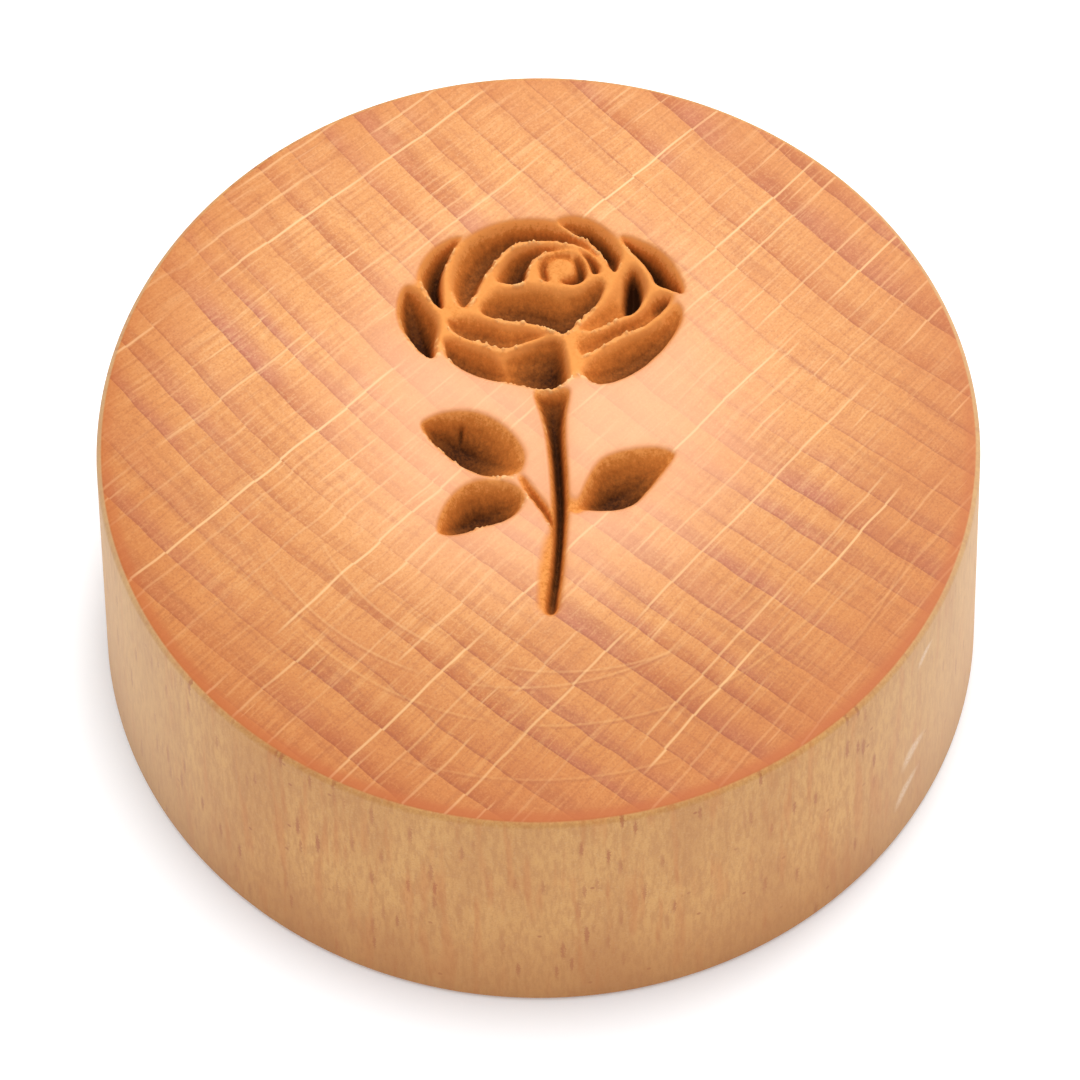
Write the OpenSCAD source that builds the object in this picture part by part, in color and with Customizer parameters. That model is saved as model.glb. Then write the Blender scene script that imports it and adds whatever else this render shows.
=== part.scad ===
// Round butter mold: one turned block of beech, standing on its flat base,
// with a rose cut into its upper face, so that butter pressed on it takes a raised rose.
// Millimetres, +Z up. The origin is the centre of the base.
// The bloom points to +Y and the foot of its stem to -Y.

/* [Block] */
// Diameter of the turned block
body_d = 60; // [50:0.5:80]
// Height of the block, from the base to the carved face
body_h = 23.6; // [18:0.1:32]
// Radius of the eased rim round the carved face
face_rim_r = 0.5; // [0.3:0.1:2]
// Radius of the eased rim round the base
base_rim_r = 0.6; // [0.3:0.1:2]

/* [Carving] */
// Length of the rose, from the top of its bloom to the foot of its stem
rose_l = 31.9; // [24:0.1:40]
// Depth of the shallow bowl that the petals stand in
bowl_depth = 0.8; // [0.4:0.1:1.2]
// Factor on the depth of every petal, leaf and stem cut
depth_scale = 1; // [0.6:0.05:1.4]
// Spans along each long cut
cut_spans = 22; // [14:1:24]
// Spans along each short cut
short_spans = 10; // [8:1:12]
// Ribs across each cut
cut_ribs = 6; // [4:1:6]

/* [Hidden] */
$fn = 96;
wood = "burlywood";
lid_z = 1;             // how far every cutter stands above the carved face
bowl_c = [0.35, 11.6]; // centre of the bloom's shallow bowl
bowl_r = [9.4, 6.6];   // its half width and half height
bowl_steps = 8;        // rings in the bowl's floor
bowl_sides = 48;       // sides round the bowl
overlap = 1;           // how far the parts of the half section run into each other

// Point at u on a smooth run through the points p; whole numbers are the points themselves.
function at(p, u) =
    let (n = len(p) - 1,
         i = min(floor(u), n - 1),
         f = u - i,
         a = p[i],
         b = p[i + 1],
         ta = i > 0 ? (b - p[i - 1]) / 2 : b - a,
         tb = i < n - 1 ? (p[i + 2] - a) / 2 : b - a)
    a * (2 * f ^ 3 - 3 * f ^ 2 + 1) + ta * (f ^ 3 - 2 * f ^ 2 + f)
    + b * (3 * f ^ 2 - 2 * f ^ 3) + tb * (f ^ 3 - f ^ 2);

// Depth of the bowl at r, where 0 is its centre and 1 its edge.
function bowl(r) = bowl_depth * (1 - min(1, r) ^ 4);

// Distance of the point p from the bowl's centre, as a share of its edge.
function bowl_share(p) = norm([(p.x - bowl_c.x) / bowl_r.x, (p.y - bowl_c.y) / bowl_r.y]);

// 0 at both ends, 1 at the peak; the powers round off the two sides.
function hump(u, peak, powers) =
    u <= peak ? sin(90 * u / peak) ^ powers[0] : sin(90 * (1 - u) / (1 - peak)) ^ powers[1];

// One gouge cut between the edges a and b, which run the same way.
// side and end place its deepest point across and along; walls and runs shape the two sides.
module cut(a, b, depth, side = 0.7, walls = [1, 0.5], end = 0.5, runs = [0.5, 0.5],
           spans = cut_spans) {
    n = len(a) - 1;
    w = cut_ribs + 1;
    floor_pts = [
        for (i = [0:spans], j = [0:cut_ribs])
            let (t = i / spans,
                 s = (1 - cos(180 * j / cut_ribs)) / 2,
                 p = at(a, t * n) * (1 - s) + at(b, t * n) * s,
                 sunk = depth_scale * depth * hump(s, side, walls) * hump(t, end, runs))
            [p.x, p.y, -bowl(bowl_share(p)) - sunk]];
    lid_pts = [
        for (i = [0:spans], edge = [a, b])
            let (p = at(edge, i / spans * n)) [p.x, p.y, lid_z]];
    m = len(floor_pts);
    last = spans * w;
    floor_faces = [
        for (i = [0:spans - 1], j = [0:cut_ribs - 1])
            let (k = i * w + j)
            each [[k, k + w, k + 1], [k + 1, k + w, k + w + 1]]];
    side_faces = [
        for (i = [0:spans - 1])
            let (k = i * w, k2 = k + cut_ribs, l = m + 2 * i)
            each [[k, l, k + w], [k + w, l, l + 2],
                  [k2, k2 + w, l + 1], [k2 + w, l + 3, l + 1],
                  [l, l + 1, l + 2], [l + 1, l + 3, l + 2]]];
    start_face = [concat([for (j = [0:cut_ribs]) j], [m + 1, m])];
    last_lid = m + 2 * spans;
    end_face = [concat([for (j = [cut_ribs:-1:0]) last + j], [last_lid, last_lid + 1])];
    faces = concat(floor_faces, side_faces, start_face, end_face);
    turned = [for (f = faces) [for (i = [len(f) - 1:-1:0]) f[i]]];
    ahead = at(a, n / 2 + 0.1) - at(a, n / 2);
    across = at(b, n / 2) - at(a, n / 2);
    polyhedron(concat(floor_pts, lid_pts), cross(ahead, across) > 0 ? faces : turned);
}

// The shallow bowl whose floor the tops of the petals lie on.
module bowl_cut() {
    floor_line = [for (i = [0:bowl_steps]) let (r = i / bowl_steps) [r, -bowl(r)]];
    translate([bowl_c.x, bowl_c.y, 0])
        scale([bowl_r.x, bowl_r.y, 1])
            rotate_extrude($fn = bowl_sides)
                polygon(concat(floor_line, [[1, lid_z], [0, lid_z]]));
}

// The rolled petals in the heart of the bloom.
module heart_cuts() {
    cut([[0.9, 13.7], [0.35, 14], [0.2, 14.8], [0.4, 15.5], [1, 15.9]],
        [[0.9, 13.7], [0.75, 14.2], [0.65, 14.8], [0.75, 15.3], [1, 15.9]],
        0.9, spans = short_spans);
    cut([[0.35, 15], [0.7, 15.75], [1.5, 16.1], [2.4, 15.95], [3, 15.2]],
        [[0.75, 14.9], [1.05, 15.4], [1.6, 15.62], [2.2, 15.45], [2.6, 14.9]],
        0.55, runs = [0.4, 0.4], spans = short_spans);
    cut([[1.4, 13.75], [2.6, 13.6], [3.3, 13.9], [3.45, 14.7], [3.1, 15.5], [2.5, 15.8]],
        [[1.4, 13.75], [2.3, 14], [2.7, 14.3], [2.75, 14.8], [2.7, 15.3], [2.5, 15.8]],
        1.4, side = 0.5, end = 0.45, spans = short_spans);
    cut([[-2.9, 13.6], [-2.6, 15], [-1.7, 16.2], [-0.3, 16.7], [1.5, 16.6], [3, 16.2]],
        [[-0.8, 13.8], [-0.6, 14.9], [-0.2, 15.7], [0.5, 16.15], [1.6, 16.25], [3, 16.2]],
        1.9, side = 0.72, end = 0.1, runs = [0.25, 1.2]);
    cut([[2.8, 16.25], [3.8, 15.75], [4.3, 15], [4.35, 14.3]],
        [[2.8, 16.25], [3.4, 15.7], [3.75, 15], [3.9, 14.3]],
        1.3, side = 0.5, end = 0.75, spans = short_spans);
}

// The petals behind and to the left of the heart.
module back_petal_cuts() {
    cut([[-5, 11.6], [-5.9, 13], [-5.8, 14.9], [-4.6, 16.85], [-2.7, 17.9],
         [-0.9, 18.25], [1.4, 18], [3.4, 17.1], [4.7, 15.8], [5.2, 14.2]],
        [[-5, 11.6], [-4.3, 12.7], [-3.6, 14.2], [-2.7, 15.7], [-1.5, 16.8],
         [-0.2, 17.05], [1.5, 16.95], [3.1, 16.5], [4.3, 15.5], [5.2, 14.2]],
        1.8, end = 0.33, runs = [0.4, 1]);
    cut([[-4.9, 17.1], [-6, 16.6], [-7, 15.9], [-7.7, 14.9], [-8, 13.8], [-7.6, 12.9],
         [-7, 12.1], [-6.4, 11.4]],
        [[-4.9, 17.1], [-5.5, 16.5], [-6, 15.7], [-6.4, 14.8], [-6.6, 13.8], [-6.6, 12.9],
         [-6.6, 12.1], [-6.4, 11.4]],
        2.2, side = 0.75, end = 0.64, runs = [0.8, 0.5]);
    cut([[1.4, 18.2], [2.5, 18.45], [3.6, 18.2], [4.6, 17.5], [5.4, 16.5], [5.9, 15.5],
         [5.4, 14.3]],
        [[1.4, 18.2], [2.4, 17.75], [3.3, 17.25], [4, 16.7], [4.6, 16], [5, 15.2],
         [5.4, 14.3]],
        1.9, side = 0.75, end = 0.6);
    cut([[5.8, 16.9], [7, 16.4], [8.1, 15.8], [8.9, 15.1], [9.5, 14.2], [9.9, 13.2],
         [10.1, 12.1]],
        [[5.8, 16.9], [6.6, 15.95], [7.4, 15.05], [8, 14.1], [8.3, 13.3], [9.1, 12.85],
         [10.1, 12.1]],
        2.4, side = 0.75, end = 0.62);
}

// The petals that fold forward over the heart.
module front_petal_cuts() {
    cut([[-8.9, 13], [-9.25, 12.2], [-9.4, 11.3], [-9.35, 10.3], [-9, 9.3], [-8.4, 8.35],
         [-7.8, 7.7], [-7.1, 7.15]],
        [[-8.9, 13], [-8.1, 12.75], [-7.4, 12.05], [-6.8, 11.2], [-6.6, 10.3], [-6.75, 9.4],
         [-6.9, 8.4], [-7.1, 7.15]],
        2.8, side = 0.34, walls = [0.6, 1.2], end = 0.66, runs = [0.6, 0.5]);
    cut([[-3.9, 11.4], [-3.6, 12.4], [-2.6, 13.25], [-1.2, 13.6], [0.2, 13.5], [1.5, 13.25],
         [3.1, 13.4], [4.2, 13.9], [4.7, 13.6]],
        [[-3.9, 11.4], [-2.9, 11], [-1.7, 10.75], [-0.4, 10.5], [0.9, 10], [1.9, 9.6],
         [2.9, 10.7], [4.1, 12], [4.7, 13.6]],
        2.1, end = 0.5);
    cut([[-6.2, 10.5], [-5.2, 10.9], [-4.2, 10.95], [-3, 10.85], [-1.8, 10.55], [-0.6, 10.2],
         [0.9, 9.6]],
        [[-6.2, 10.5], [-5.5, 9.6], [-4.6, 9.15], [-3.5, 8.85], [-2.5, 8.35], [-0.9, 8.95],
         [0.9, 9.6]],
        1.4, side = 0.65);
    cut([[-6.4, 9], [-5.6, 9.25], [-4.6, 9], [-3.5, 8.55], [-2.5, 8.05], [-1.2, 8.65],
         [0.2, 9.15]],
        [[-6.4, 9], [-6, 7.4], [-5.1, 6.4], [-3.8, 5.7], [-2.5, 5.3], [-1.2, 5], [0.2, 4.75]],
        2.1, side = 0.8, walls = [1, 0.4], end = 0.42, runs = [0.5, 0.7]);
    cut([[-4.2, 8.5], [-2.5, 8.05], [-1.2, 8.65], [0, 9.15], [1.1, 9.3], [1.8, 9]],
        [[-4.2, 5.95], [-2.8, 5.4], [-1.4, 5.05], [0, 4.7], [1.2, 4.8], [2.25, 5.4]],
        2.6, side = 0.7, walls = [0.6, 0.35], end = 0.74, runs = [1.1, 0.7]);
    cut([[2.95, 6.1], [3.7, 7.6], [4.8, 8.8], [6, 9.55], [7.2, 10], [8.2, 10.4], [9, 11],
         [9.75, 11.55]],
        [[2.95, 6.1], [3.9, 5.05], [5.4, 5.25], [7, 6.2], [8.3, 7.5], [9.3, 8.9],
         [9.9, 10.3], [9.75, 11.55]],
        2.4, side = 0.75, walls = [1.1, 0.4], end = 0.4, runs = [0.8, 1.1]);
    cut([[2.6, 9.2], [3.6, 9.5], [4.9, 10.1], [6.2, 10.75], [7.3, 11.5], [8, 12.4],
         [8.8, 12.6], [9.3, 12]],
        [[2.9, 7.5], [3.8, 8.05], [4.9, 8.9], [6.1, 9.6], [7.3, 10], [8.2, 10.6],
         [8.8, 11.2], [9.3, 12]],
        1.1, end = 0.5, runs = [0.3, 0.5]);
    cut([[7.5, 10.9], [8.1, 12.2], [8.8, 12.4], [9.2, 12]],
        [[7.5, 10.9], [8.2, 10.8], [8.75, 11.3], [9.2, 12]],
        1.5, side = 0.65, end = 0.6, spans = short_spans);
    cut([[2.8, 9.75], [3.7, 11.2], [4.6, 12], [5.3, 13.1], [5.6, 14.2], [6, 14.75],
         [6.6, 14.9]],
        [[2.8, 9.75], [3.9, 9.8], [5.2, 10.45], [6.4, 11.1], [7.3, 12], [7.6, 13.2],
         [6.6, 14.9]],
        1, side = 0.65);
    cut([[6.2, 10.95], [5.9, 11.8], [5.9, 12.8], [6.1, 13.9], [6.7, 14.7]],
        [[6.2, 10.95], [7.1, 11.7], [7.45, 12.8], [7.3, 13.8], [6.7, 14.7]],
        2.9, side = 0.5, walls = [0.8, 0.8], end = 0.45, spans = short_spans);
}

// The stem, flared where it meets the bloom, and the three leaves on their stalks.
module stem_and_leaf_cuts() {
    cut([[-0.4, 4.65], [0.3, 2.6], [0.72, 0.6], [0.95, -2], [1.05, -4.5], [1.05, -7],
         [0.85, -9.5], [0.55, -11.5], [0.25, -13.6]],
        [[2.2, 4.65], [1.75, 2.6], [1.65, 0.6], [1.75, -2], [1.8, -4.5], [1.65, -7],
         [1.45, -9.5], [1.25, -11.5], [1.05, -13.6]],
        2, side = 0.55, walls = [0.5, 0.35], end = 0.1, runs = [0.5, 0.18]);
    cut([[0.75, -6.2], [0.1, -7.6], [-0.26, -9.5], [-0.34, -11.5], [-0.38, -13.6]],
        [[1, -6.2], [1.05, -7.6], [0.95, -9.5], [0.75, -11.5], [0.45, -13.6]],
        0.3, side = 0.8, walls = [0.8, 0.5], end = 0.7, runs = [0.6, 0.2], spans = short_spans);
    cut([[-8, 1.9], [-6.8, 2.6], [-5.2, 2.9], [-3.8, 2.7], [-2.5, 1.9], [-1.4, 0.7],
         [-0.8, -0.6], [-1.1, -2.2]],
        [[-8, 1.9], [-7.4, 0.8], [-6.6, -0.2], [-5.65, -1.15], [-4.6, -1.9], [-3.6, -2.3],
         [-2.3, -2.4], [-1.1, -2.2]],
        2.7, side = 0.62, walls = [1.2, 0.45], end = 0.4, runs = [0.8, 1.2]);
    cut([[-5.05, 2.5], [-5.2, 1.5], [-5.4, 0.6], [-5.7, -0.3]],
        [[-5.25, 2.5], [-5.5, 1.5], [-5.7, 0.6], [-5.8, -0.3]],
        2.6, side = 0.5, end = 0.3, runs = [0.25, 0.4], spans = short_spans);
    cut([[-1.1, -2], [-0.6, -3.1], [-0.1, -4], [0.45, -4.9], [0.95, -5.8], [1.35, -6.9]],
        [[-1.6, -2.3], [-1.05, -3.3], [-0.45, -4.2], [0.15, -5.1], [0.65, -6], [1.1, -7]],
        1, side = 0.5, end = 0.8, runs = [0.6, 0.4], spans = short_spans);
    cut([[-7, -6.9], [-6.7, -5.5], [-6.1, -4.2], [-5.1, -3.1], [-4, -2.65], [-2.7, -2.65],
         [-1.6, -3.1], [-0.9, -4]],
        [[-7, -6.9], [-6.1, -7], [-5.1, -6.8], [-4.1, -6.4], [-3, -6.1], [-2, -5.65],
         [-1.3, -4.9], [-0.9, -4]],
        2.6, side = 0.62, walls = [1.2, 0.45], end = 0.48, runs = [1.1, 1.3]);
    cut([[2.3, -5], [2.9, -4], [3.4, -2.7], [4.2, -1.2], [5.4, -0.55], [6.8, -0.25],
         [8.3, -0.2], [9.5, -0.7]],
        [[2.3, -5], [3.3, -5.1], [4.4, -5.15], [5.4, -5.1], [6.4, -4.7], [7.2, -3.8],
         [8.1, -2.6], [9.5, -0.7]],
        2.7, side = 0.64, walls = [1.1, 0.45], end = 0.44, runs = [1.4, 1]);
    cut([[1.6, -3.7], [2.2, -4], [2.7, -4.2], [3.3, -4.6]],
        [[1.6, -4.9], [2.1, -5.4], [2.7, -5.6], [3.3, -5.05]],
        0.3, side = 0.5, runs = [0.3, 0.3], spans = short_spans);
}

module rose_cutter() {
    resize([0, rose_l, 0], auto = [true, true, false]) {
        bowl_cut();
        heart_cuts();
        back_petal_cuts();
        front_petal_cuts();
        stem_and_leaf_cuts();
    }
}

// Half section of the block: its flat base, straight side, flat face and eased rims.
module half_section() {
    r = body_d / 2;
    square([r - face_rim_r, body_h]);
    translate([0, base_rim_r])
        square([r, body_h - base_rim_r - face_rim_r]);
    square([r - base_rim_r, base_rim_r + overlap]);
    translate([r - face_rim_r, body_h - face_rim_r])
        circle(face_rim_r);
    translate([r - base_rim_r, base_rim_r])
        circle(base_rim_r);
}

module block() {
    color(wood)
        difference() {
            rotate_extrude()
                half_section();
            translate([0, 0, body_h])
                rose_cutter();
        }
}

block();
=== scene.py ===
"""Looks of the round butter mold: one turned block of end-grain beech with a rose cut into its face.

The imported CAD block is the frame. Its carved face is sampled from above on a fine grid, the cuts get
softened ridges and torn fibres there, and the whole is closed into one wooden piece.
Sizes are in millimetres, and MM turns them into Blender's metres.
"""
import math

import bpy
import numpy as np
from mathutils import Matrix, Vector
from mathutils.bvhtree import BVHTree


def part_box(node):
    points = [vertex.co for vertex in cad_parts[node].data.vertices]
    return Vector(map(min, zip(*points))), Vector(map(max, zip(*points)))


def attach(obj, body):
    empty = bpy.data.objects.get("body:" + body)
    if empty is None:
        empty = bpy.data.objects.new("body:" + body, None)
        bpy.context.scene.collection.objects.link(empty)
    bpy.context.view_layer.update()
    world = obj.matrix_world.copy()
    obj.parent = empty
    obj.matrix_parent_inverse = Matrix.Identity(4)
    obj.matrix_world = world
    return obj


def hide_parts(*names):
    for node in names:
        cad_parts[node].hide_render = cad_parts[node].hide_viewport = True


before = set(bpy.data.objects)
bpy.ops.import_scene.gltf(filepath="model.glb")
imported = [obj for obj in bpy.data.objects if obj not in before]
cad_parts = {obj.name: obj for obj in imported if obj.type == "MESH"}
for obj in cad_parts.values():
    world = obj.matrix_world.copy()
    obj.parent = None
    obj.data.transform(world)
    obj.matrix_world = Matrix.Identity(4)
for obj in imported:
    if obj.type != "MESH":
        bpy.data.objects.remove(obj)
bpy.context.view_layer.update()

MM = 0.001
NODE = "block"
block_low, block_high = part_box(NODE)
RADIUS = (block_high.x - block_low.x) / 2 / MM
HEIGHT = (block_high.z - block_low.z) / MM

# The block's turned outline, as shares of its radius
FACE_RIM = 0.0167 * RADIUS
BASE_RIM = 0.020 * RADIUS

# The sampled face
STEP = 0.075            # spacing of the samples
MARGIN = 1.0            # flat wood kept round the cuts
FLAT = 0.004            # a cut starts this far below the face
CLEAR = 5.0             # the rays that sample it start this far above
MAX_FACES = 190_000     # triangles in the finished piece
SEED = 7

# Wear of the cuts
RIDGE_WEAR = 0.18               # how far the ridges are rounded
FLOOR_WEAR = 0.075              # how far everything else is
RAGGED = ((0.13, 0.5), (0.10, 0.19))    # how far torn edges move, and over what length
RAGGED_SIDEWAYS = (0.08, 0.25)
TUFT = 0.24                     # height of a tuft of torn fibre
TUFT_CELLS = (0.36, 0.16)
TOOL_MARKS = ((0.016, 0.2), (0.03, 0.55))   # height and length of the marks on the floors
SHADE_REACHES = (0.4, 0.8, 1.6)


# ---------------------------------------------------------------- fields on the carved face

def blur(field, sigma):
    """Gaussian blur of a field of samples; sigma in millimetres."""
    fy = np.fft.fftfreq(field.shape[0])[:, None]
    fx = np.fft.fftfreq(field.shape[1])[None, :]
    keep = np.exp(-2 * (math.pi * sigma / STEP) ** 2 * (fx ** 2 + fy ** 2))
    return np.real(np.fft.ifft2(np.fft.fft2(field) * keep))


def ramp01(value, start, end):
    """Smooth step of an array from 0 at start to 1 at end."""
    t = np.clip((value - start) / (end - start), 0, 1)
    return t * t * (3 - 2 * t)


def value_noise(x, y, cell, seed):
    """Smooth noise from -1 to 1 that changes over about one cell, on a grid that the seed turns."""
    cos, sin = math.cos(seed), math.sin(seed)
    x, y = x * cos + y * sin, y * cos - x * sin
    u, v = (x - x.min()) / cell, (y - y.min()) / cell
    i, j = u.astype(int), v.astype(int)
    table = np.random.default_rng(seed).uniform(-1, 1, (j.max() + 2, i.max() + 2))
    a, b = u - i, v - j
    a, b = a * a * (3 - 2 * a), b * b * (3 - 2 * b)
    low = table[j, i] * (1 - a) + table[j, i + 1] * a
    high = table[j + 1, i] * (1 - a) + table[j + 1, i + 1] * a
    return low * (1 - b) + high * b


def resample(field, x, y, x0, y0):
    """The field's values at the points x, y, by straight-line interpolation."""
    u = np.clip((x - x0) / STEP, 0, field.shape[1] - 1.001)
    v = np.clip((y - y0) / STEP, 0, field.shape[0] - 1.001)
    i, j = u.astype(int), v.astype(int)
    a, b = u - i, v - j
    low = field[j, i] * (1 - a) + field[j, i + 1] * a
    high = field[j + 1, i] * (1 - a) + field[j + 1, i + 1] * a
    return low * (1 - b) + high * b


def cut_region(mesh):
    """The box in x and y that holds every vertex below the flat face, grown by the margin."""
    co = np.array([v.co for v in mesh.vertices]) / MM
    inside = np.hypot(co[:, 0], co[:, 1]) < RADIUS - 2 * FACE_RIM
    low = (co[:, 2] < HEIGHT - FLAT) & (co[:, 2] > HEIGHT / 2) & inside
    return co[low, :2].min(0) - MARGIN, co[low, :2].max(0) + MARGIN


def sample_face(node):
    """Grids of x and y and the depth of the carved CAD face below its flat part."""
    mesh = node.data
    tree = BVHTree.FromPolygons([v.co for v in mesh.vertices], [p.vertices for p in mesh.polygons])
    (x0, y0), (x1, y1) = cut_region(mesh)
    xs, ys = np.arange(x0, x1, STEP), np.arange(y0, y1, STEP)
    x, y = np.meshgrid(xs, ys)
    above = (HEIGHT + CLEAR) * MM
    down = Vector((0, 0, -1))
    hits = [tree.ray_cast(Vector((a * MM, b * MM, above)), down)[0].z
            for a, b in zip(x.ravel(), y.ravel())]
    return x, y, HEIGHT - np.array(hits).reshape(x.shape) / MM


def soft_ridges(depth):
    """The depth with its ridges worn round, and little change on the floors."""
    worn = blur(depth, RIDGE_WEAR)
    ridge = ramp01(worn - depth, -0.02, 0.12)
    return depth * (1 - ridge) + worn * ridge


def torn_edges(x, y, depth):
    """The depth with ragged edges where the face drops away towards +Y, and how torn each point is."""
    fall = np.gradient(blur(depth, 0.12), STEP, axis=0)
    torn = ramp01(blur(np.clip(fall, 0, 3), 0.2), 0.08, 0.45)
    # Torn patches come and go, lie mostly on the left, and are weaker beside the flat face.
    patch = ramp01(value_noise(x, y, 1.7, SEED + 5) - 0.06 * x, -0.45, 0.30)
    flat = ramp01(blur(1 - ramp01(depth, 0.02, 0.12), 0.6), 0.15, 0.5)
    torn *= (0.2 + 0.8 * patch) * (1 - 0.7 * flat)
    shift = sum(far * value_noise(x, y, cell, SEED + i) for i, (far, cell) in enumerate(RAGGED))
    sideways = RAGGED_SIDEWAYS[0] * value_noise(x, y, RAGGED_SIDEWAYS[1], SEED + 2)
    ragged = resample(depth, x + sideways, y - np.abs(shift) * 1.1 + 0.05, x[0, 0], y[0, 0])
    return depth * (1 - torn) + ragged * torn, torn


def with_tufts(x, y, depth, torn):
    """The depth with tufts of fibre on its torn edges, and how much fibre shows at each point."""
    crest = np.clip(blur(depth, 0.4) - blur(depth, 0.09), 0, 1)
    clumps = sum(value_noise(x, y, cell, SEED + 3 + i) for i, cell in enumerate(TUFT_CELLS))
    tuft = ramp01(clumps, 0.0, 0.9)
    fuzz = ramp01(crest, 0.05, 0.20) * ramp01(torn, 0.12, 0.55)
    raised = depth - TUFT * fuzz * tuft * np.clip(depth / 0.15, 0, 1)
    return raised, np.clip(fuzz * (0.25 + 0.75 * tuft), 0, 1)


def tool_marks(x, y):
    """Small uneven marks that the gouge leaves on the floors."""
    return sum(high * value_noise(x, y, cell, SEED + 6 + i) for i, (high, cell) in enumerate(TOOL_MARKS))


def shade(depth):
    """How closed in each point is, from the wood that stands above it at three distances."""
    total = np.zeros_like(depth)
    for reach in SHADE_REACHES:
        total += np.clip((depth - blur(depth, reach)) / reach, 0, 1.5)
    return total / len(SHADE_REACHES)


def carved_fields(x, y, depth):
    """The finished depth of the face and the masks that its colours follow."""
    depth, torn = torn_edges(x, y, soft_ridges(depth))
    carved = ramp01(depth, 0.02, 0.3)
    depth, fuzz = with_tufts(x, y, blur(depth, FLOOR_WEAR), torn)
    depth = np.maximum(depth + tool_marks(x, y) * carved, 0)
    open_cut = ramp01(depth, 0.05, 0.5)
    enclosed = ramp01(blur(open_cut, 0.9), 0.55, 0.85)
    return {
        "depth": depth,
        "fuzz": fuzz,
        # crest is where a painted highlight goes on the ridges, and shade drives the painted shade in the
        # cuts
        "crest": ramp01(blur(depth, 0.6) - blur(depth, 0.12), 0.0, 0.32) * enclosed,
        "near": (blur(open_cut, 0.2) + blur(open_cut, 0.9)) / 2,
        "shade": shade(depth),
    }


# ---------------------------------------------------------------- the block's mesh

OUTWARD = (0.08, 0.2, 0.36, 0.54, 0.76)     # rings on the flat face, from the sampled part to the rim
INWARD = (0.8, 0.6, 0.4, 0.2)               # rings on the base, as shares of its radius
RIM_RINGS = 8
SIDE_RINGS = 10


def ring_profile():
    """Radius and height of each ring from the edge of the flat face down to the base."""
    steps = np.linspace(0, math.pi / 2, RIM_RINGS)
    r_face, r_base = RADIUS - FACE_RIM, RADIUS - BASE_RIM
    rim = [(r_face + FACE_RIM * math.sin(a), HEIGHT - FACE_RIM * (1 - math.cos(a))) for a in steps]
    side = [(RADIUS, z) for z in np.linspace(HEIGHT - FACE_RIM, BASE_RIM, SIDE_RINGS)[1:-1]]
    foot = [(r_base + BASE_RIM * math.cos(a), BASE_RIM * (1 - math.sin(a))) for a in steps]
    base = [(r_base * share, 0) for share in INWARD]
    return rim + side + foot + base


def block_mesh(x, y, depth):
    """One closed mesh: the sampled face, the flat round it, the turned side and the base."""
    rows, cols = x.shape
    grid = np.arange(rows * cols).reshape(rows, cols)
    verts = [np.column_stack([x.ravel(), y.ravel(), HEIGHT - depth.ravel()])]
    quads = [np.column_stack([grid[:-1, :-1].ravel(), grid[:-1, 1:].ravel(),
                              grid[1:, 1:].ravel(), grid[1:, :-1].ravel()])]
    loop = np.concatenate([grid[0, :-1], grid[:-1, -1], grid[-1, :0:-1], grid[:0:-1, 0]])
    edge = verts[0][loop, :2]
    angle = np.arctan2(edge[:, 1], edge[:, 0])
    circle = np.column_stack([np.cos(angle), np.sin(angle)])
    rings = []
    for t in OUTWARD:
        flat = edge * (1 - t) + circle * (RADIUS - FACE_RIM) * t
        rings.append(np.column_stack([flat, np.full(len(edge), HEIGHT)]))
    for r, z in ring_profile():
        rings.append(np.column_stack([circle * r, np.full(len(edge), z)]))
    start = rows * cols
    before = loop
    for ring in rings:
        after = np.arange(start, start + len(loop))
        quads.append(np.column_stack([np.roll(before, -1), before, after, np.roll(after, -1)]))
        verts.append(ring)
        before = after
        start += len(loop)
    verts.append(np.array([[0.0, 0.0, 0.0]]))
    fan = np.column_stack([np.roll(before, -1), before, np.full(len(loop), start)])
    faces = np.concatenate(quads).tolist() + fan.tolist()
    mesh = bpy.data.meshes.new("mold_block")
    mesh.from_pydata((np.concatenate(verts) * MM).tolist(), [], faces)
    mesh.validate()
    return mesh


def thinned(obj):
    """The object's mesh with flat wood merged into fewer faces, so that the cuts keep theirs."""
    count = sum(len(p.vertices) - 2 for p in obj.data.polygons)
    if count > MAX_FACES:
        decimate = obj.modifiers.new("thin", "DECIMATE")
        decimate.ratio = MAX_FACES / count
        decimate.use_collapse_triangulate = True
        graph = bpy.context.evaluated_depsgraph_get()
        mesh = bpy.data.meshes.new_from_object(obj.evaluated_get(graph))
        obj.modifiers.clear()
        obj.data = mesh
    return obj.data


def store(mesh, x, y, fields):
    """Keeps each field on the mesh's face points, as attributes for the material."""
    co = np.empty(len(mesh.vertices) * 3, np.float32)
    mesh.vertices.foreach_get("co", co)
    co = co.reshape(-1, 3) / MM
    x0, y0, x1, y1 = x[0, 0], y[0, 0], x[0, -1], y[-1, 0]
    face = (co[:, 2] > HEIGHT / 2) & (co[:, 0] > x0) & (co[:, 0] < x1)
    face &= (co[:, 1] > y0) & (co[:, 1] < y1)
    for name, field in fields.items():
        value = resample(field, co[:, 0], co[:, 1], x0, y0)
        attribute = mesh.attributes.new("carve_" + name, "FLOAT", "POINT")
        attribute.data.foreach_set("value", np.where(face, value, 0).astype(np.float32))


# ---------------------------------------------------------------- node helpers

def srgb(red, green, blue):
    """Linear colour of an 8-bit screen colour."""
    def linear(c):
        c /= 255
        return c / 12.92 if c <= 0.04045 else ((c + 0.055) / 1.055) ** 2.4
    return (linear(red), linear(green), linear(blue), 1.0)


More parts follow.
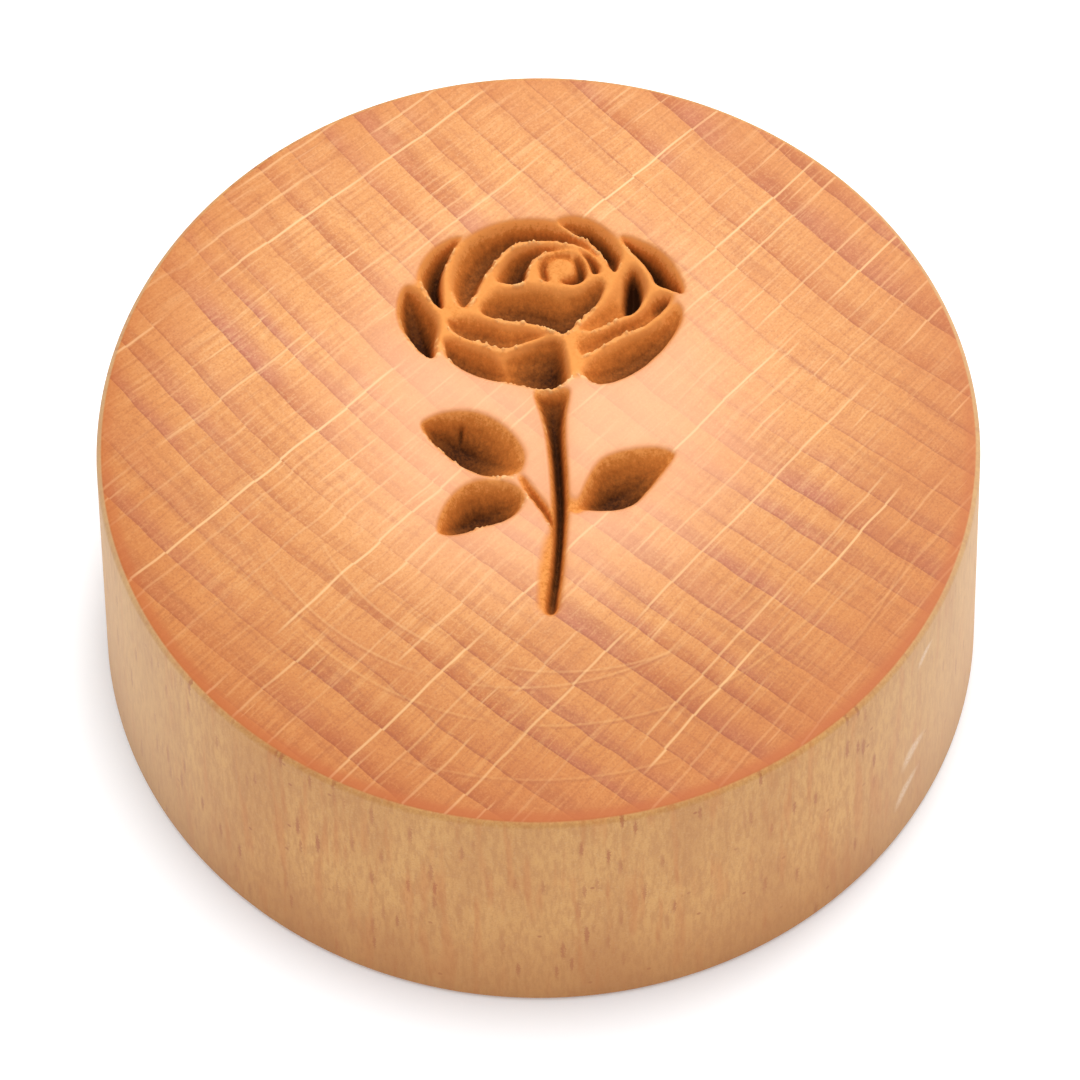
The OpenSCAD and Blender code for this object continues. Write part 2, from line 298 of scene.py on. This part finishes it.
class Tree:
    """Short names for the nodes that a material is built from."""

    def __init__(self, name):
        self.material = bpy.data.materials.new(name)
        self.material.use_nodes = True
        self.nodes = self.material.node_tree.nodes
        self.links = self.material.node_tree.links
        self.nodes.clear()

    def node(self, kind, inputs=None, **settings):
        made = self.nodes.new(kind)
        for key, value in settings.items():
            setattr(made, key, value)
        for key, value in (inputs or {}).items():
            if isinstance(value, bpy.types.NodeSocket):
                self.links.new(value, made.inputs[key])
            else:
                made.inputs[key].default_value = value
        return made

    def math(self, operation, a, b=0.0, c=0.0):
        return self.node("ShaderNodeMath", {0: a, 1: b, 2: c}, operation=operation).outputs[0]

    def add(self, a, b):
        return self.math("ADD", a, b)

    def sub(self, a, b):
        return self.math("SUBTRACT", a, b)

    def mul(self, a, b):
        return self.math("MULTIPLY", a, b)

    def div(self, a, b):
        return self.math("DIVIDE", a, b)

    def size(self, a):
        return self.math("ABSOLUTE", a)

    def most(self, a, b):
        return self.math("MAXIMUM", a, b)

    def length(self, a, b):
        """Length of the flat vector with the parts a and b."""
        return self.math("SQRT", self.add(self.mul(a, a), self.mul(b, b)))

    def step(self, value, start, end, low=0.0, high=1.0):
        """Smooth step from low at start to high at end."""
        inputs = {"Value": value, "From Min": start, "From Max": end, "To Min": low, "To Max": high}
        made = self.node("ShaderNodeMapRange", inputs, interpolation_type="SMOOTHSTEP")
        return made.outputs["Result"]

    def vector(self, x=0.0, y=0.0, z=0.0):
        return self.node("ShaderNodeCombineXYZ", {"X": x, "Y": y, "Z": z}).outputs[0]

    def noise(self, vector, scale=1.0, detail=2.0, roughness=0.5):
        inputs = {"Vector": vector, "Scale": scale, "Detail": detail, "Roughness": roughness}
        return self.node("ShaderNodeTexNoise", inputs).outputs["Fac"]

    def streaks(self, u, v, scale_u, scale_v, layer=0.0, detail=2.0, roughness=0.5):
        """Noise over u and v, each with its own scale."""
        place = self.vector(self.mul(u, scale_u), self.mul(v, scale_v), layer)
        return self.noise(place, 1.0, detail, roughness)

    def swing(self, noise, share):
        """A noise from 0 to 1, centred on zero and made share wide."""
        return self.mul(self.sub(noise, 0.5), share)

    def random(self, *parts):
        return self.node("ShaderNodeTexWhiteNoise", {"Vector": self.vector(*parts)}).outputs["Value"]

    def mix(self, share, a, b, blend="MIX"):
        inputs = {0: share, 6: a, 7: b}     # the places of Factor and of the colours A and B
        made = self.node("ShaderNodeMix", inputs, data_type="RGBA", blend_type=blend)
        return made.outputs[2]

    def tint(self, base, colour, value, start, end, share):
        """The base colour, with a share of colour that grows as value goes from start to end."""
        return self.mix(self.step(value, start, end, 0.0, share), base, colour)

    def ramp(self, value, *stops):
        made = self.node("ShaderNodeValToRGB", {"Fac": value})
        points = made.color_ramp.elements
        while len(points) < len(stops):
            points.new(0.5)
        for point, (place, colour) in zip(points, stops):
            point.position = place
            point.color = colour
        return made.outputs["Color"]

    def attribute(self, name):
        return self.node("ShaderNodeAttribute", attribute_name=name).outputs["Fac"]


# ---------------------------------------------------------------- beech

# Where the tree's centre lay from the block's axis, and the usual width of a year's growth
PITH = (157.0, 161.0)
PITH_FAR = math.hypot(*PITH)
RING = 2.7
# How far growth rings stray: over the whole face, over a few millimetres, and in their width
DRIFT = 2.4
WAVE = 0.35
UNEVEN = 1.9
# Rays in three sizes: width of a lane, of the line in it, length of a run, share shown, seed, strength
RAYS = (
    (2.4, 0.13, 10.0, 0.56, 1.0, 1.0),
    (1.7, 0.10, 6.0, 0.42, 9.0, 0.55),
    (0.8, 0.05, 3.0, 0.34, 17.0, 0.3),
)
# How far a ray steps aside on its way, and where it crosses a ring
KINK = 0.45
RING_KINK = 0.16
# Sideways shift and radius of the lathe's lines, and where they fade out towards the back
LATHE_LINES = ((1.6, 0.60 * RADIUS), (-1.2, 0.64 * RADIUS), (0.8, 0.74 * RADIUS), (0.0, 0.88 * RADIUS))
LATHE_FADE = (-5.0, -12.0)

EARLY = srgb(228, 158, 92)
LATE = srgb(196, 114, 58)
LATE_PINK = srgb(196, 120, 92)
RING_LINE = srgb(164, 86, 52)
RAY = srgb(252, 208, 152)
# Pale colour of the patch round the rose, partly painted sheen
SMOOTH_SHEEN = srgb(244, 180, 138)
RIM = srgb(186, 96, 36)
FACE_SHADE = (0.76, 0.61, 0.40, 1.0)     # factor on the wood's colour where painted shade falls
SIDE = srgb(207, 153, 88)
SIDE_DARK = srgb(174, 112, 58)
# Pale wood of the side, also used for its painted sheen at the left and right
SIDE_PALE_AND_SHEEN = srgb(206, 175, 136)
FLECK = srgb(164, 92, 50)
SCUFFED = srgb(226, 204, 180)
# Colours of the cut wood, from a painted highlight on the ridges to painted shade in the deepest places
CUT_RIDGE_LIT = srgb(230, 150, 78)
CUT_LIGHT = srgb(206, 124, 54)
CUT = srgb(180, 104, 42)
CUT_DEEP = srgb(128, 72, 28)
CUT_DARK = srgb(66, 33, 12)
FIBRE = srgb(250, 200, 134)
# Where each cut colour sits on the scale of painted shade
CUT_TONES = ((0.0, CUT_RIDGE_LIT), (0.13, CUT_LIGHT), (0.36, CUT), (0.68, CUT_DEEP), (1.0, CUT_DARK))

# The bright middle of the face's painted light, and the distances from there over which painted shade
# grows
BRIGHTEST = (-1.0, 9.0)
SHADE_SPREAD = (12.0, 36.0)
# Distances from the block's edge: where its painted shade starts, where its dark band starts, where both
# are full
TONE_WIDE = 8.0
BAND_WIDE = 1.7
BAND_FULL = 0.6
BAND_FRONT = 20.0          # the band is strongest this far in front of the axis, weakest as far behind
# The paler, smoother patch round the rose, partly painted sheen: its middle, and how far it reaches in x
# and y
SHEEN_MIDDLE = (0.5, 3.5)
SHEEN_REACH = (19.0, 20.0)
BLOOM_FOOT = (5.0, 4.0)    # the leaves and the stem lie below these values of y
# Marks on the side: scale round it and up it, size, and share of the cells that hold one
FLECKS = ((1.1, 0.16, 0.20, 0.35), (0.7, 0.09, 0.15, 0.45))
PINS = (0.28, 0.28, 0.06, 0.3)
# Pale scuffs on the side: degrees round from the front, height, tilt, length and width
SCUFFS = ((57, 9.8, 28, 2.0, 1.0), (55.5, 5.8, 40, 2.2, 0.8), (59.5, 20.6, 32, 1.4, 0.6))

# Finish: roughness and gloss of each surface, and the height of its finest relief
FACE_ROUGH = 0.46
SIDE_ROUGH = 0.62
CUT_ROUGHER = 0.32         # what a cut adds
FACE_GLOSS = 0.38
CUT_GLOSS = 0.10
RELIEF = 0.04


class Wood(Tree):
    """A material with the places, in millimetres, and the pores that all its parts share."""

    def __init__(self, name):
        super().__init__(name)
        inside = self.node("ShaderNodeTexCoord").outputs["Object"]
        scaled = self.node("ShaderNodeVectorMath", {0: inside, "Scale": 1 / MM}, operation="SCALE")
        self.point = scaled.outputs[0]
        self.x, self.y, self.z = self.node("ShaderNodeSeparateXYZ", {0: self.point}).outputs
        self.out = self.length(self.x, self.y)
        self.pores = self.noise(self.point, 6.5, 2.0, 0.6)

    def flat_noise(self, scale, detail, layer=0.0):
        """Noise over x and y only."""
        return self.noise(self.vector(self.x, self.y, layer), scale, detail)

    def upright_noise(self, across, up, detail=2.0, roughness=0.5):
        """Noise with one scale across the block and another up it."""
        place = self.vector(self.mul(self.x, across), self.mul(self.y, across), self.mul(self.z, up))
        return self.noise(place, 1.0, detail, roughness)


def round_pith(t):
    """Distance from the pith and distance round it, with the drift that real grain has."""
    dx, dy = t.sub(t.x, PITH[0]), t.sub(t.y, PITH[1])
    drift = t.noise(t.vector(t.x, t.y, t.mul(t.z, 0.2)), 0.035, 1.0)
    along = t.add(t.length(dx, dy), t.swing(drift, DRIFT))
    along = t.add(along, t.swing(t.flat_noise(0.35, 1.0), WAVE))
    return along, t.mul(t.math("ARCTAN2", dy, dx), PITH_FAR)


def growth_rings(t, along, across):
    """Colour of pale early wood, then darker late wood that ends at a line; and the number of the year."""
    uneven = t.swing(t.noise(t.vector(t.mul(along, 0.13), 4.0), 1.0, 1.0), UNEVEN)
    years = t.add(t.div(along, RING), uneven)
    year, season = t.math("FLOOR", years), t.math("FRACT", years)
    vigour = t.step(t.random(year, 2.0), 0.0, 1.0, 0.3, 1.0)
    shown = t.step(t.streaks(along, across, 0.06, 0.08), 0.32, 0.6, 0.4, 1.0)
    late = t.mul(t.mul(t.step(season, 0.25, 0.98), vigour), shown)
    line = t.mul(t.step(season, 0.90, 0.985), t.step(season, 0.985, 1.0, 1.0, 0.0))
    pink = t.step(t.flat_noise(0.09, 2.0, 3.0), 0.42, 0.62)
    wood = t.mix(late, EARLY, t.mix(pink, LATE, LATE_PINK))
    wood = t.mix(t.mul(t.mul(line, shown), 0.5), wood, RING_LINE)
    flow = t.streaks(along, across, 1.3, 0.09, 6.0)
    return t.tint(wood, RING_LINE, flow, 0.48, 0.72, 0.30), year


def kinked(t, along, across, year):
    """The distance round the pith that rays follow: they step aside a little where they cross a ring."""
    kink = t.streaks(along, across, 0.2, 0.05, detail=1.0)
    return t.add(t.add(across, t.swing(kink, KINK)), t.mul(t.random(year, 6.0), RING_KINK))


def fine_grain(t, wood, fine, along, across):
    """The colour with pores, the finest rays and a faint weave."""
    weave = t.streaks(across, along, 2.0, 2.6, 2.0, roughness=0.6)
    wood = t.tint(wood, RAY, fine, 0.5, 0.70, 0.28)
    wood = t.tint(wood, RING_LINE, fine, 0.5, 0.30, 0.26)
    wood = t.tint(wood, RAY, weave, 0.5, 0.72, 0.07)
    wood = t.tint(wood, RING_LINE, weave, 0.5, 0.28, 0.08)
    wood = t.tint(wood, RAY, t.pores, 0.52, 0.72, 0.24)
    return t.tint(wood, RING_LINE, t.pores, 0.48, 0.30, 0.28)


def ray_lines(t, along, across, lane_width, width, reach, share, seed):
    """Pale lines that run out from the pith: one to a lane, each broken along its length."""
    lane = t.div(across, lane_width)
    index = t.math("FLOOR", lane)
    centre = t.step(t.random(index, seed), 0.0, 1.0, 0.22, 0.78)
    away = t.mul(t.size(t.sub(t.math("FRACT", lane), centre)), lane_width)
    run = t.noise(t.vector(t.mul(index, 3.7), t.div(along, reach), seed), 1.0, 1.0)
    shown = t.step(run, 1 - share - 0.06, 1 - share + 0.08)
    strength = t.step(t.random(index, seed + 5.0), 0.1, 0.9, 0.2, 1.0)
    line = t.step(away, width * 0.2, width, 1.0, 0.0)
    return t.mul(t.mul(line, shown), strength)


def all_rays(t, along, across):
    """The rays of every size, from 0 to 1."""
    rays = 0.0
    for lane_width, width, reach, share, seed, strength in RAYS:
        lines = ray_lines(t, along, across, lane_width, width, reach, share, seed)
        rays = t.most(rays, t.mul(lines, strength))
    return rays


def lathe_lines(t, wood):
    """The colour with faint lathe lines left round the front of the face."""
    broken = t.step(t.flat_noise(0.12, 1.0, 8.0), 0.40, 0.56)
    front = t.mul(t.step(t.y, *LATHE_FADE), broken)
    for shift, radius in LATHE_LINES:
        gap = t.sub(t.length(t.sub(t.x, shift), t.y), radius)
        pale = t.step(t.size(gap), 0.03, 0.14, 1.0, 0.0)
        dark = t.step(t.size(t.sub(gap, 0.2)), 0.03, 0.16, 1.0, 0.0)
        wood = t.mix(t.mul(t.mul(pale, front), 0.22), wood, RAY)
        wood = t.mix(t.mul(t.mul(dark, front), 0.20), wood, RING_LINE)
    return wood


def with_face_shade(t, wood):
    """The colour with painted shade that grows away from a bright patch by the bloom and towards the
    turned edge, and a darker band along the edge that is strongest at the front.
    """
    away = t.length(t.sub(t.x, BRIGHTEST[0]), t.sub(t.y, BRIGHTEST[1]))
    # Painted shade that grows away from the bright middle near the bloom.
    wood = t.mix(t.step(away, *SHADE_SPREAD), wood, FACE_SHADE, "MULTIPLY")
    # Painted shade towards the turned edge, and a darker band along it that is strongest at the front.
    tone = t.step(t.out, RADIUS - TONE_WIDE, RADIUS - BAND_FULL, 0.0, 0.22)
    front = t.step(t.y, BAND_FRONT, -BAND_FRONT, 0.25, 0.85)
    band = t.mul(t.step(t.out, RADIUS - BAND_WIDE, RADIUS - BAND_FULL), front)
    return t.mix(t.most(tone, band), wood, RIM)


def spots(t, u, v, scale_u, scale_v, size, share):
    """Soft spots scattered over u and v, each stretched along the axis with the smaller scale."""
    inputs = {"Vector": t.vector(t.mul(u, scale_u), t.mul(v, scale_v)), "Scale": 1.0}
    cells = t.node("ShaderNodeTexVoronoi", inputs, voronoi_dimensions="2D")
    chosen = t.node("ShaderNodeSeparateXYZ", {0: cells.outputs["Color"]}).outputs[0]
    shown = t.step(chosen, 1 - share - 0.1, 1 - share + 0.2)
    return t.mul(t.step(cells.outputs["Distance"], size * 0.4, size, 1.0, 0.0), shown)


def smudge(t, u, v, middle_u, middle_v, tilt, length, width):
    """A soft streak round one point, leaning by tilt degrees from the u axis and a little bent."""
    cos, sin = math.cos(math.radians(tilt)), math.sin(math.radians(tilt))
    du, dv = t.sub(u, middle_u), t.sub(v, middle_v)
    long = t.div(t.add(t.mul(du, cos), t.mul(dv, sin)), length)
    wide = t.div(t.sub(t.mul(dv, cos), t.mul(du, sin)), width)
    bent = t.add(wide, t.mul(t.mul(long, long), 0.8))
    return t.step(t.length(long, bent), 0.3, 1.0, 1.0, 0.0)


def side_grain(t):
    """Colour and relief of the long grain: fibres, ray flecks, streaks, pin spots, a few scuffs, darker
    wood towards the base, and a painted sheen towards the left and right.
    """
    round_side = t.mul(t.math("ARCTAN2", t.x, t.mul(t.y, -1.0)), RADIUS)
    fibre = t.upright_noise(2.8, 0.6, 4.0, 0.65)
    wood = t.tint(SIDE, SIDE_DARK, fibre, 0.38, 0.66, 0.5)
    wood = t.tint(wood, SIDE_DARK, t.upright_noise(0.25, 0.06), 0.35, 0.7, 0.4)
    wood = t.tint(wood, SIDE_PALE_AND_SHEEN, t.pores, 0.52, 0.72, 0.2)
    wood = t.tint(wood, SIDE_DARK, t.pores, 0.48, 0.28, 0.35)
    rough_side = t.add(round_side, t.swing(t.pores, 0.5))
    fleck = t.most(spots(t, rough_side, t.z, *FLECKS[0]), spots(t, rough_side, t.z, *FLECKS[1]))
    patchy = t.step(t.noise(t.point, 0.16, 1.0), 0.38, 0.62, 0.25, 0.75)
    wood = t.mix(t.mul(fleck, patchy), wood, FLECK)
    wood = t.tint(wood, RIM, t.upright_noise(1.1, 0.10), 0.52, 0.68, 0.28)
    wood = t.mix(t.mul(spots(t, round_side, t.z, *PINS), 0.7), wood, FLECK)
    wood = t.tint(wood, SIDE_DARK, t.z, HEIGHT * 0.55, 0.0, 0.55)
    # Painted sheen: paler towards the left and right, where the side is seen at a grazing angle.
    wood = t.tint(wood, SIDE_PALE_AND_SHEEN, t.size(t.x), RADIUS * 0.6, RADIUS, 0.4)
    worn = t.step(t.pores, 0.35, 0.6, 0.2, 0.5)
    for turn, height, tilt, length, width in SCUFFS:
        scuff = smudge(t, round_side, t.z, math.radians(turn) * RADIUS, height, tilt, length, width)
        wood = t.mix(t.mul(scuff, worn), wood, SCUFFED)
    return wood, t.add(t.mul(fibre, 1.5), t.mul(fleck, -0.8))


def cut_grain_and_shade(t, depth):
    """Colour of the cuts: a painted highlight on the ridges, and painted shade that grows with depth and
    where they are closed in.
    """
    # Painted shade: darker with depth and where the cut is closed in.
    painted_shade = t.add(t.mul(depth, 0.16), t.mul(t.attribute("carve_shade"), 0.42))
    # Painted shade that grows with the square of the depth, most of all in the leaves and the stem.
    squared = t.mul(depth, depth)
    painted_shade = t.add(painted_shade, t.math("MULTIPLY_ADD", squared, 0.030, -0.09))
    below = t.math("MULTIPLY_ADD", squared, 0.015, 0.09)
    painted_shade = t.add(painted_shade, t.mul(below, t.step(t.y, *BLOOM_FOOT)))
    painted_shade = t.add(painted_shade, t.swing(t.upright_noise(3.6, 0.8, 3.0, 0.6), 0.5))
    painted_shade = t.add(painted_shade, t.swing(t.pores, 0.3))
    wood = t.ramp(painted_shade, *CUT_TONES)
    # Painted highlight on the rounded ridges.
    return t.mix(t.mul(t.attribute("carve_crest"), 0.8), wood, CUT_RIDGE_LIT)


def carved_face(t, wood, rays, depth, carved):
    """Colour of the end grain: a paler, smoother patch round the rose that is partly painted sheen, the
    cuts, and fibre at their torn edges.
    """
    aside = t.div(t.sub(t.x, SHEEN_MIDDLE[0]), SHEEN_REACH[0])
    ahead = t.div(t.sub(t.y, SHEEN_MIDDLE[1]), SHEEN_REACH[1])
    # A paler, smoother patch round the rose, partly painted sheen.
    face = t.tint(wood, SMOOTH_SHEEN, t.length(aside, ahead), 1.0, 0.3, 0.68)
    face = t.mix(t.mul(rays, 0.3), face, RAY)
    face = t.tint(face, CUT_LIGHT, t.attribute("carve_near"), 0.0, 0.45, 0.6)
    face = t.mix(carved, face, cut_grain_and_shade(t, depth))
    return t.mix(t.mul(t.attribute("carve_fuzz"), 0.65), face, FIBRE)


def beech():
    """Beech as a solid: growth rings and rays through the end grain, long grain on the side."""
    t = Wood("beech")
    along, across = round_pith(t)
    wood, year = growth_rings(t, along, across)
    across = kinked(t, along, across, year)
    fine = t.streaks(across, along, 3.4, 0.18, 1.0, 3.0, 0.6)
    wood = fine_grain(t, wood, fine, along, across)
    rays = all_rays(t, along, across)
    wood = t.mix(t.mul(rays, 0.68), wood, RAY)
    wood = t.tint(wood, LATE, t.flat_noise(0.12, 2.0), 0.35, 0.75, 0.2)
    wood = with_face_shade(t, lathe_lines(t, wood))

    depth = t.attribute("carve_depth")
    carved = t.step(depth, 0.02, 0.26)
    face = carved_face(t, wood, rays, depth, carved)
    side, side_relief = side_grain(t)
    normal = t.node("ShaderNodeNewGeometry").outputs["Normal"]
    upright = t.size(t.node("ShaderNodeSeparateXYZ", {0: normal}).outputs[2])
    turned = t.step(t.out, RADIUS - 1.5, RADIUS - 0.5)
    is_side = t.mul(t.step(upright, 0.88, 0.985, 1.0, 0.0), turned)

    rough = t.add(t.step(is_side, 0.0, 1.0, FACE_ROUGH, SIDE_ROUGH), t.mul(carved, CUT_ROUGHER))
    face_relief = t.add(t.add(t.mul(rays, -0.15), t.mul(fine, 0.4)), t.mul(t.pores, 0.8))
    relief = t.add(t.mul(t.sub(1.0, is_side), face_relief), t.mul(is_side, side_relief))
    bump = t.node("ShaderNodeBump", {"Strength": 0.35, "Distance": RELIEF * MM, "Height": relief})
    shader = t.node("ShaderNodeBsdfPrincipled", {
        "Base Color": t.mix(is_side, face, side),
        "Roughness": t.add(rough, t.swing(t.pores, 0.15)),
        "Specular IOR Level": t.step(carved, 0.0, 1.0, FACE_GLOSS, CUT_GLOSS),
        "Normal": bump.outputs[0]})
    t.node("ShaderNodeOutputMaterial", {"Surface": shader.outputs[0]})
    return t.material


# ---------------------------------------------------------------- the wooden piece

def make_block(node):
    """The wooden piece that stands for the CAD block."""
    x, y, depth = sample_face(node)
    fields = carved_fields(x, y, depth)
    piece = bpy.data.objects.new("mold_block", block_mesh(x, y, fields["depth"]))
    bpy.context.scene.collection.objects.link(piece)
    mesh = thinned(piece)
    mesh.shade_smooth()
    store(mesh, x, y, fields)
    mesh.materials.clear()
    mesh.materials.append(beech())
    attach(piece, "root")
    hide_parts(NODE)


# ---------------------------------------------------------------- studio

ELEVATION = 58.46          # degrees above the table that the camera looks down from
DISTANCE = 31.6            # from the block's middle, in radii
LENS = 460.9               # for a 36 mm sensor
ROLL = -0.74               # degrees
SHIFT = (0.0005, -0.0042)
CLIP = (0.05, 10.0)        # nearest and farthest that the camera sees, in metres

TABLE_HALF = 3.0           # half the table's width, in metres
TABLE_TINTS = ((0.90, 0.93, 0.97, 1), (0.92, 0.95, 0.99, 1))
GLOW = (-3.0, 5.5)         # distances from the block's edge between which the table's glow grows; the dimmer ring inside is a painted shadow
GLOW_STRENGTH = 0.4
GLOW_COLOUR = (0.95, 0.98, 1, 1)

# Soft boxes: name, place and width in metres, power in watts, colour
SOFT_BOXES = (
    ("key", (0.11, 0.20, 0.27), 0.24, 0.62, (1, 0.985, 0.96)),
    ("top", (0.0, -0.1, 1.20), 1.4, 7.0, (1, 1, 1)),
)
SURROUND = 0.62            # strength of the white surround


def table_material():
    """Pale and matt, and glowing as painted light except near the block, where the glow fades into a
    painted shadow round its foot.
    """
    t = Tree("table")
    point = t.node("ShaderNodeTexCoord").outputs["Object"]
    away = t.node("ShaderNodeVectorMath", {0: point}, operation="LENGTH").outputs["Value"]
    # Painted light: the table glows, and the glow fades near the block into a painted shadow round its
    # foot.
    glow = t.step(away, (RADIUS + GLOW[0]) * MM, (RADIUS + GLOW[1]) * MM, 0.0, GLOW_STRENGTH)
    shader = t.node("ShaderNodeBsdfPrincipled", {
        "Base Color": t.mix(t.noise(point, 3.0), *TABLE_TINTS),
        "Roughness": 0.8, "Specular IOR Level": 0.1,
        "Emission Color": GLOW_COLOUR, "Emission Strength": glow})
    t.node("ShaderNodeOutputMaterial", {"Surface": shader.outputs[0]})
    return t.material


def table():
    """A table far larger than the view."""
    low, high = -TABLE_HALF, TABLE_HALF
    corners = [(low, low, 0), (high, low, 0), (high, high, 0), (low, high, 0)]
    mesh = bpy.data.meshes.new("table")
    mesh.from_pydata(corners, [], [(0, 1, 2, 3)])
    mesh.materials.append(table_material())
    piece = bpy.data.objects.new("table", mesh)
    bpy.context.scene.collection.objects.link(piece)


def soft_light(aim, name, place, width, power, colour):
    """A square soft box turned towards aim."""
    light = bpy.data.lights.new(name, "AREA")
    light.size = width
    light.energy = power
    light.color = colour
    lamp = bpy.data.objects.new(name, light)
    lamp.location = place
    lamp.rotation_euler = (aim - Vector(place)).to_track_quat("-Z", "Y").to_euler()
    bpy.context.scene.collection.objects.link(lamp)


def studio(middle):
    """Soft boxes and a white surround."""
    for box in SOFT_BOXES:
        soft_light(middle, *box)
    world = bpy.data.worlds.new("surround")
    world.use_nodes = True
    background = world.node_tree.nodes["Background"]
    background.inputs["Color"].default_value = (1, 1, 1, 1)
    background.inputs["Strength"].default_value = SURROUND
    bpy.context.scene.world = world
    bpy.context.scene.view_settings.view_transform = "Standard"


def camera(middle):
    """A long lens that looks down at the face from the foot of the rose."""
    tilt = math.radians(ELEVATION)
    far = DISTANCE * RADIUS * MM
    place = middle + Vector((0, -math.cos(tilt) * far, math.sin(tilt) * far))
    look = (middle - place).to_track_quat("-Z", "Y").to_matrix().to_4x4()
    data = bpy.data.cameras.new("camera")
    data.lens = LENS
    data.shift_x, data.shift_y = SHIFT
    data.clip_start, data.clip_end = CLIP
    made = bpy.data.objects.new("camera", data)
    made.matrix_world = Matrix.Translation(place) @ look @ Matrix.Rotation(math.radians(ROLL), 4, "Z")
    bpy.context.scene.collection.objects.link(made)
    bpy.context.scene.camera = made


make_block(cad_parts[NODE])
middle = (block_low + block_high) / 2
table()
studio(middle)
camera(middle)
